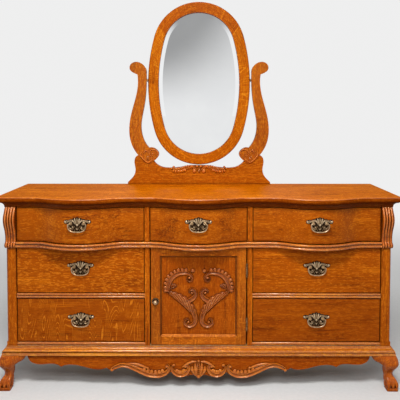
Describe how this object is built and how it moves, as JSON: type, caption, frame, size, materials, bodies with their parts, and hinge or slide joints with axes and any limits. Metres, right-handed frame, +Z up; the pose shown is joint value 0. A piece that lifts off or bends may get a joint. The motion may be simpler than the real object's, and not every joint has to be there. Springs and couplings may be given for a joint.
{
  "type": "dresser with mirror",
  "caption": "Wide oak dresser with bowed top drawers, a carved cupboard door, swinging bail pulls, cabriole feet and a tilting oval mirror on harp uprights.",
  "frame": {"origin": "on the floor, under the middle of the bounding box", "axes": "+X to the right as seen from the front, +Y to the back, +Z up; the drawers open along -Y"},
  "size_m": [1.676, 0.508, 1.6885],
  "materials": {
    "golden_oak": "satin varnish",
    "inner_wood": "plain sanded",
    "backing_board": "matt",
    "antique_brass": "aged, rubbed bright on the high spots",
    "mirror_plate": "silvered, bevelled"
  },
  "bodies": {
    "root": {"top_board": "golden_oak", "top_bed_moulding": "golden_oak", "side_frames": "golden_oak", "rear_posts": "golden_oak", "front_posts": "golden_oak", "corbels": "golden_oak", "bottom_panel": "inner_wood", "back_panel": "backing_board", "partitions": "inner_wood", "bay_stiles": "golden_oak", "top_rail": "golden_oak", "waist_rail": "golden_oak", "drawer_rails": "golden_oak", "base_moulding": "golden_oak", "drawer_runners": "inner_wood", "apron": "golden_oak", "apron_carving": "golden_oak", "front_feet": "golden_oak", "hinge_case_leaves": "antique_brass", "door_catch": "antique_brass", "mirror_uprights": "golden_oak", "mirror_base": "golden_oak", "mirror_base_carving": "golden_oak", "mirror_pivots": "antique_brass"},
    "drawer_top_left": {"drawer_front_top_left": "golden_oak", "drawer_box_top_left": "inner_wood", "pull_plate_top_left": "antique_brass"},
    "bail_top_left": {"pull_bail_top_left": "antique_brass"},
    "drawer_top_centre": {"drawer_front_top_centre": "golden_oak", "drawer_box_top_centre": "inner_wood", "pull_plate_top_centre": "antique_brass"},
    "bail_top_centre": {"pull_bail_top_centre": "antique_brass"},
    "drawer_top_right": {"drawer_front_top_right": "golden_oak", "drawer_box_top_right": "inner_wood", "pull_plate_top_right": "antique_brass"},
    "bail_top_right": {"pull_bail_top_right": "antique_brass"},
    "drawer_middle_left": {"drawer_front_middle_left": "golden_oak", "drawer_box_middle_left": "inner_wood", "pull_plate_middle_left": "antique_brass"},
    "bail_middle_left": {"pull_bail_middle_left": "antique_brass"},
    "drawer_middle_right": {"drawer_front_middle_right": "golden_oak", "drawer_box_middle_right": "inner_wood", "pull_plate_middle_right": "antique_brass"},
    "bail_middle_right": {"pull_bail_middle_right": "antique_brass"},
    "drawer_bottom_left": {"drawer_front_bottom_left": "golden_oak", "drawer_box_bottom_left": "inner_wood", "pull_plate_bottom_left": "antique_brass"},
    "bail_bottom_left": {"pull_bail_bottom_left": "antique_brass"},
    "drawer_bottom_right": {"drawer_front_bottom_right": "golden_oak", "drawer_box_bottom_right": "inner_wood", "pull_plate_bottom_right": "antique_brass"},
    "bail_bottom_right": {"pull_bail_bottom_right": "antique_brass"},
    "door": {"door_frame": "golden_oak", "door_panel": "golden_oak", "door_carvings": "golden_oak", "door_knob": "antique_brass", "hinge_door_leaves": "antique_brass"},
    "mirror": {"mirror_frame": "golden_oak", "mirror_glass": "mirror_plate", "mirror_backboard": "backing_board"}
  },
  "joints": [
    {"name": "slide_top_left", "type": "slide", "parent": "root", "child": "drawer_top_left", "axis": [0, -1, 0], "range_m": [0, 0.3]},
    {"name": "swing_top_left", "type": "hinge", "parent": "drawer_top_left", "child": "bail_top_left", "pos_m": [-0.493, -0.23, 0.71], "axis": [-1, 0, 0], "range_deg": [0, 75]},
    {"name": "slide_top_centre", "type": "slide", "parent": "root", "child": "drawer_top_centre", "axis": [0, -1, 0], "range_m": [0, 0.3]},
    {"name": "swing_top_centre", "type": "hinge", "parent": "drawer_top_centre", "child": "bail_top_centre", "pos_m": [0, -0.23, 0.71], "axis": [-1, 0, 0], "range_deg": [0, 75]},
    {"name": "slide_top_right", "type": "slide", "parent": "root", "child": "drawer_top_right", "axis": [0, -1, 0], "range_m": [0, 0.3]},
    {"name": "swing_top_right", "type": "hinge", "parent": "drawer_top_right", "child": "bail_top_right", "pos_m": [0.493, -0.23, 0.71], "axis": [-1, 0, 0], "range_deg": [0, 75]},
    {"name": "slide_middle_left", "type": "slide", "parent": "root", "child": "drawer_middle_left", "axis": [0, -1, 0], "range_m": [0, 0.3]},
    {"name": "swing_middle_left", "type": "hinge", "parent": "drawer_middle_left", "child": "bail_middle_left", "pos_m": [-0.493, -0.172, 0.517], "axis": [-1, 0, 0], "range_deg": [0, 75]},
    {"name": "slide_middle_right", "type": "slide", "parent": "root", "child": "drawer_middle_right", "axis": [0, -1, 0], "range_m": [0, 0.3]},
    {"name": "swing_middle_right", "type": "hinge", "parent": "drawer_middle_right", "child": "bail_middle_right", "pos_m": [0.493, -0.172, 0.517], "axis": [-1, 0, 0], "range_deg": [0, 75]},
    {"name": "slide_bottom_left", "type": "slide", "parent": "root", "child": "drawer_bottom_left", "axis": [0, -1, 0], "range_m": [0, 0.3]},
    {"name": "swing_bottom_left", "type": "hinge", "parent": "drawer_bottom_left", "child": "bail_bottom_left", "pos_m": [-0.493, -0.172, 0.299], "axis": [-1, 0, 0], "range_deg": [0, 75]},
    {"name": "slide_bottom_right", "type": "slide", "parent": "root", "child": "drawer_bottom_right", "axis": [0, -1, 0], "range_m": [0, 0.3]},
    {"name": "swing_bottom_right", "type": "hinge", "parent": "drawer_bottom_right", "child": "bail_bottom_right", "pos_m": [0.493, -0.172, 0.299], "axis": [-1, 0, 0], "range_deg": [0, 75]},
    {"name": "door_hinge", "type": "hinge", "parent": "root", "child": "door", "pos_m": [0.2015, -0.1655, 0.3885], "axis": [0, 0, 1], "range_deg": [0, 90]},
    {"name": "mirror_tilt", "type": "hinge", "parent": "root", "child": "mirror", "pos_m": [0, 0.242, 1.315], "axis": [1, 0, 0], "range_deg": [-20, 20]}
  ]
}
